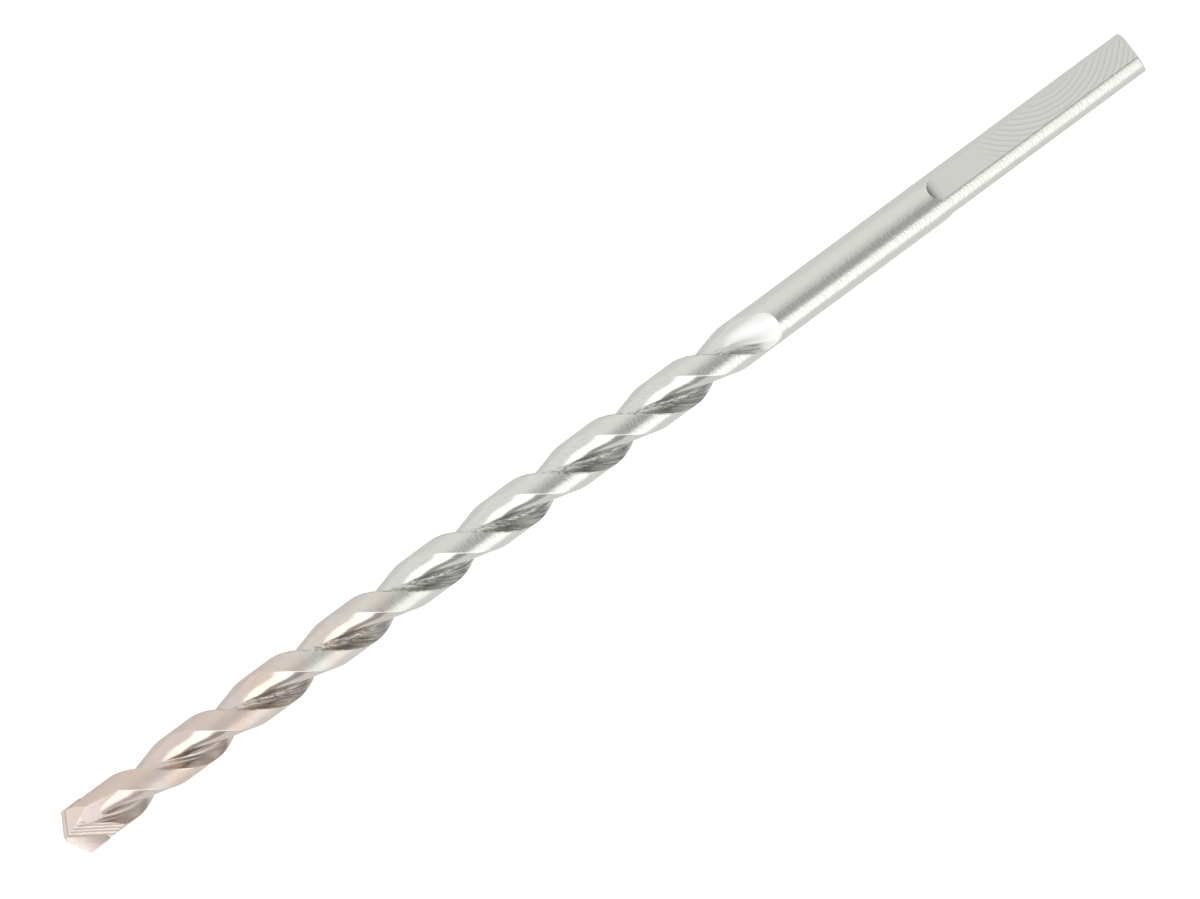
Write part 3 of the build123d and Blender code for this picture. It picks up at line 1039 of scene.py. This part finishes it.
def cut_away(bm, point, normal):
    """Keep what lies behind a plane and close the cut."""
    cut = bmesh.ops.bisect_plane(bm, geom=bm.verts[:] + bm.edges[:] + bm.faces[:],
                                 plane_co=point, plane_no=normal, clear_outer=True)
    edges = [item for item in cut["geom_cut"] if isinstance(item, bmesh.types.BMEdge)]
    bmesh.ops.holes_fill(bm, edges=edges, sides=0)


bm = bmesh.new()
bmesh.ops.create_cone(bm, cap_ends=True, segments=360, radius1=plate_radius,
                      radius2=plate_radius, depth=plate_height + 2 * spare)
to_tip = Matrix.Translation((apex_x + plate_height / 2 - spare, 0, 0))
along_x = Matrix.Rotation(math.pi / 2, 4, "Y")
bmesh.ops.transform(bm, matrix=to_tip @ along_x, verts=bm.verts)
for side in (1, -1):
    cut_away(bm, (0, 0, side * half_plate), (0, 0, side))
    cut_away(bm, (apex_x, 0, 0), (-1, side * lip_slope, side * math.tan(lip_relief)))
bmesh.ops.recalc_face_normals(bm, faces=bm.faces)
plate_mesh = bpy.data.meshes.new("carbide_plate")
bm.to_mesh(plate_mesh)
bm.free()
plate_mesh.materials.append(materials["sandy_carbide"])
plate = place_object("carbide_plate", plate_mesh)

# %% The plate's ground edges
bevel = plate.modifiers.new("ground_edges", "BEVEL")
bevel.width = plate_edge
bevel.segments = 2
bevel.limit_method = "ANGLE"
bevel.angle_limit = plate_edge_angle
plate.data = plain_mesh(plate, "carbide_plate")
plate.modifiers.clear()
plate.data.shade_smooth()
plate.data.set_sharp_from_angle(angle=plate_sharp_angle)
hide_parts("carbide_tip")
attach(plate, "root")
print("plate:", len(plate.data.polygons), "faces,", finish_names(plate))

# %% [markdown]
# ## The braze
#
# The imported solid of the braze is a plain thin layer, and only its edge shows, so it stays as
# it is and only gets the better finish.

# %% Braze
braze = frame["nodes"]["braze_joint"]
braze.data.materials.clear()
braze.data.materials.append(materials["burnt_braze"])
print("braze:", len(braze.data.polygons), "faces,", finish_names(braze))

# %% [markdown]
# ## The table
#
# The bit lies on a white table that fills the picture. A lit sheet would need more light than
# the bit can bear, so its paper glows: white for the camera and dimmer for mirrors, as a
# table in a tent is dimmer than its walls. Diffuse paper under that glow keeps the shadow.

# %% Table
table_z = cad_box[0][2]
half_table = 2.5
glow_seen = 0.9
glow_mirrored = 0.52
paper_grey = (0.8, 0.8, 0.8, 1.0)
shadow_grey = (0.35, 0.35, 0.35, 1.0)

tree = new_material("white_paper")
rays = add(tree, "ShaderNodeLightPath").outputs
fibres = add(tree, "ShaderNodeBsdfDiffuse", {"Color": paper_grey})
lit_share = add(tree, "ShaderNodeBsdfDiffuse", {"Color": shadow_grey})
mirrored = add(tree, "ShaderNodeMath", [rays["Is Glossy Ray"], rays["Is Transmission Ray"]],
    operation="ADD")
shown = add(tree, "ShaderNodeMath", [mirrored, rays["Is Camera Ray"]], operation="ADD",
    use_clamp=True)
strength = add(tree, "ShaderNodeMapRange", {"Value": rays["Is Camera Ray"], "To Min": glow_mirrored,
    "To Max": glow_seen})
glow = add(tree, "ShaderNodeEmission", {"Color": (1.0, 1.0, 1.0, 1.0), "Strength": strength})
seen = add(tree, "ShaderNodeAddShader", [lit_share, glow])
surface = add(tree, "ShaderNodeMixShader", [shown, fibres, seen])
add(tree, "ShaderNodeOutputMaterial", {"Surface": surface})

table_mesh = bpy.data.meshes.new("white_table")
corners = [(*corner, table_z) for corner in square(half_table)]
table_mesh.from_pydata(corners, [], [(0, 1, 2, 3)])
table_mesh.materials.append(materials["white_paper"])
table = place_object("white_table", table_mesh)
print("table at Z =", round(table_z / mm, 3), "mm")

# %% [markdown]
# ## The camera
#
# The photograph looks straight down on the bit with a long lens, from slightly beyond its
# middle towards the tip. The camera aims at the point of the bit's plane that the middle of
# the picture shows. A constraint could aim it, but its three axes are needed below too,
# because the light was set up round the camera.

# %% Camera
photo_width = 1200
pixels_per_mm = 8.849
axis_slope = math.radians(36.44)
camera_distance = 1.2
camera_tilt = math.radians(2.4)
aim_point = Vector((-75.32 * mm, -0.36 * mm, 0))

lens = bpy.data.cameras.new("long_lens")
lens.sensor_width = 36.0
lens.lens = lens.sensor_width * pixels_per_mm * camera_distance / mm / photo_width
lens.clip_end = 10.0
backwards = Vector((-math.sin(camera_tilt), 0, math.cos(camera_tilt)))
bit_way = Vector((math.cos(camera_tilt), 0, math.sin(camera_tilt)))
side_way = backwards.cross(bit_way)
right = bit_way * math.cos(axis_slope) - side_way * math.sin(axis_slope)
up = bit_way * math.sin(axis_slope) + side_way * math.cos(axis_slope)
axes = Matrix((right, up, backwards)).transposed().to_4x4()
camera = place_object("camera", lens)
camera.matrix_world = Matrix.Translation(aim_point + backwards * camera_distance) @ axes
bpy.context.scene.camera = camera
bpy.context.scene.view_settings.view_transform = "Standard"
print("lens:", round(lens.lens, 1), "mm")

# %% [markdown]
# ## The light tent
#
# Bright metal shows little but its surroundings. The bit was photographed in a white tent,
# with soft light from the lower left of the picture and darker stretches round the camera and
# beyond the shank. A world is quicker to fit than a modelled tent: one plain level with soft
# round patches. A patch is named by its direction from the bit, in degrees: how far it lies
# off the camera, and round which way, counted from the right of the picture.

# %% Patches of the tent
wall_level = 0.92
patches = [
    # soft light from the lower left
    {"round": -105, "off": 77, "radius": 58, "soft": 5, "level": 1.6},
    # a gap in it, and a dark strip below it
    {"round": -82, "off": 76, "radius": 17, "soft": 4, "level": 0.4},
    {"round": -76, "off": 104, "radius": 24, "soft": 6, "level": 0.4},
    # the darker wall beyond the shank
    {"round": 8, "off": 92, "radius": 28, "soft": 14, "level": 0.4},
    # the dark camera side, which draws the shank's dark line, and a dark opening beyond
    {"round": 22, "off": 30, "radius": 25, "soft": 28, "level": 0.12},
    {"round": 70, "off": 90, "radius": 30, "soft": 10, "level": 0.12},
    # a small dark thing near the camera
    {"round": -48, "off": 24, "radius": 9, "soft": 8, "level": 0.4},
]


def tent_way(patch):
    """Direction from the bit to the middle of a patch."""
    off, turn = math.radians(patch["off"]), math.radians(patch["round"])
    beside = right * math.cos(turn) + up * math.sin(turn)
    return beside * math.sin(off) + backwards * math.cos(off)


print("patches:", len(patches), "on walls of", wall_level)

# %% World
world = bpy.data.worlds.new("light_tent")
world.use_nodes = True
tree = world.node_tree
tree.nodes.clear()
way = add(tree, "ShaderNodeTexCoord").outputs["Generated"]
level = wall_level
for patch in patches:
    cosine = add(tree, "ShaderNodeVectorMath", [way, tent_way(patch)], operation="DOT_PRODUCT")
    angle = add(tree, "ShaderNodeMath", [cosine.outputs["Value"]], operation="ARCCOSINE")
    inside = add(tree, "ShaderNodeMapRange", {"Value": angle,
        "From Min": math.radians(patch["radius"] + patch["soft"]),
        "From Max": math.radians(patch["radius"] - patch["soft"])}, interpolation_type="SMOOTHSTEP")
    level = add(tree, "ShaderNodeMix", [inside, level, patch["level"]])
walls = add(tree, "ShaderNodeBackground", {"Color": (1.0, 1.0, 1.0, 1.0), "Strength": level})
add(tree, "ShaderNodeOutputWorld", {"Surface": walls})
bpy.context.scene.world = world
print("world:", len(tree.nodes), "nodes")

# %% [markdown]
# ## A soft box
#
# One weak, wide lamp on the lit side gives the shadow and the highlights a direction, as the
# real lamp behind the cloth did. The world alone would leave both too soft.

# %% Soft box
box_light = bpy.data.lights.new("soft_box", "AREA")
box_light.shape = "DISK"
box_light.size = 0.6
box_light.energy = 0.8
box_way = tent_way(patches[0])
bit_middle = Vector((apex_x / 2, 0, 0))
soft_box = place_object("soft_box", box_light)
soft_box.location = bit_middle + box_way
soft_box.rotation_euler = (-box_way).to_track_quat("-Z", "Y").to_euler()
print("soft box:", box_light.energy, "W at", [round(v, 2) for v in soft_box.location], "m")
